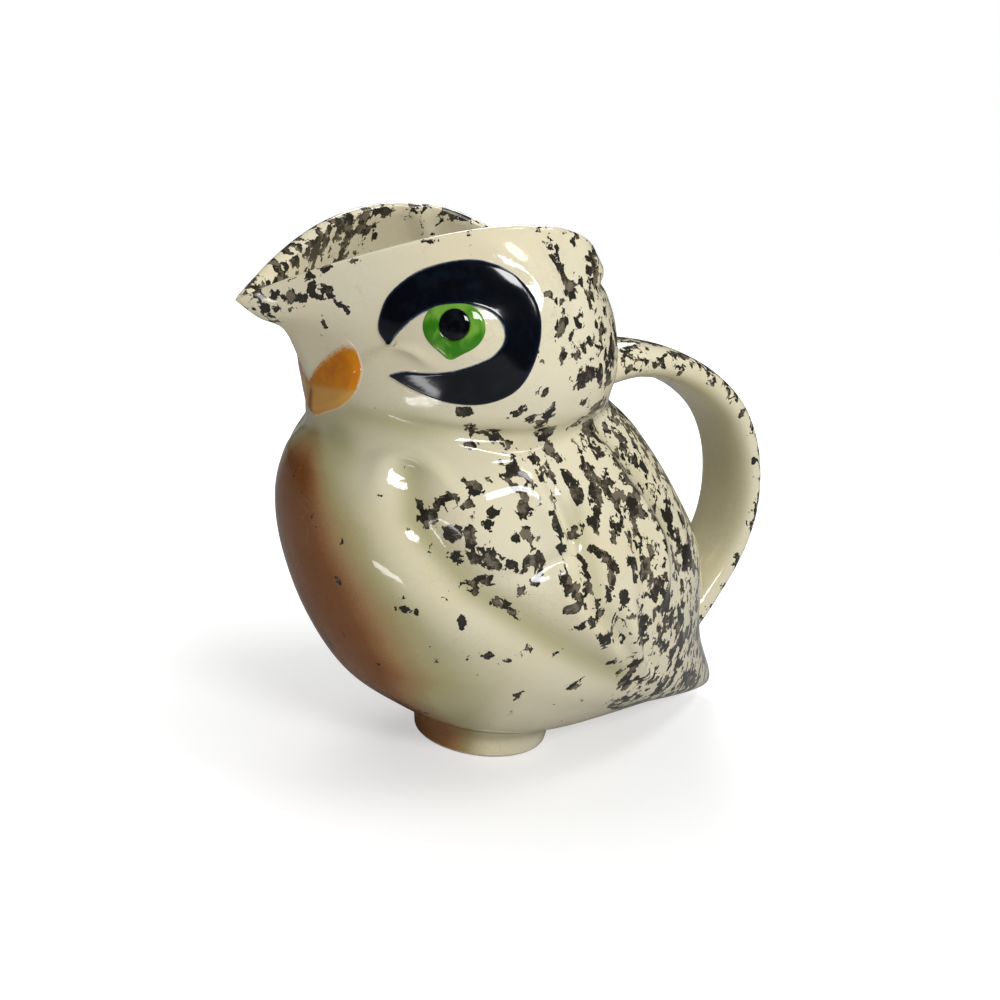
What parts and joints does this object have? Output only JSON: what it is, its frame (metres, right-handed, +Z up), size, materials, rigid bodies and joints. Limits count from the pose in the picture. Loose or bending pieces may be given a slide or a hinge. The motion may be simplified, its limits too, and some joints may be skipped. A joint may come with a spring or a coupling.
{
  "type": "owl pitcher",
  "caption": "Slip-cast pottery milk pitcher in the form of an owl: hollow body with a pointed spout in the raised rim, painted eyes, a strap handle behind and a low turned foot.",
  "frame": {"origin": "on the table, under the middle of the pitcher's bounding box", "axes": "+Z up, the owl and its spout face -Y, the strap handle is on +Y, the owl's left side is +X"},
  "size_m": [0.1062, 0.18, 0.1526],
  "materials": {
    "cream_glaze": "glossy cream glaze over a crazed earthenware body",
    "sponged_glaze": "cream glaze with brown-black sponged marks",
    "foot_glaze": "cream glaze, airbrushed brown in front, wiped bare underneath",
    "orange_enamel": "glossy brown-orange enamel",
    "black_enamel": "glossy blue-black enamel",
    "green_enamel": "glossy green enamel"
  },
  "bodies": {
    "root": {"body_shell": "cream_glaze", "foot_ring": "foot_glaze", "handle": "cream_glaze", "beak": "orange_enamel", "left_wing": "sponged_glaze", "right_wing": "sponged_glaze", "left_eye_patch": "black_enamel", "right_eye_patch": "black_enamel", "left_iris": "green_enamel", "right_iris": "green_enamel", "left_pupil": "black_enamel", "right_pupil": "black_enamel"}
  },
  "joints": []
}
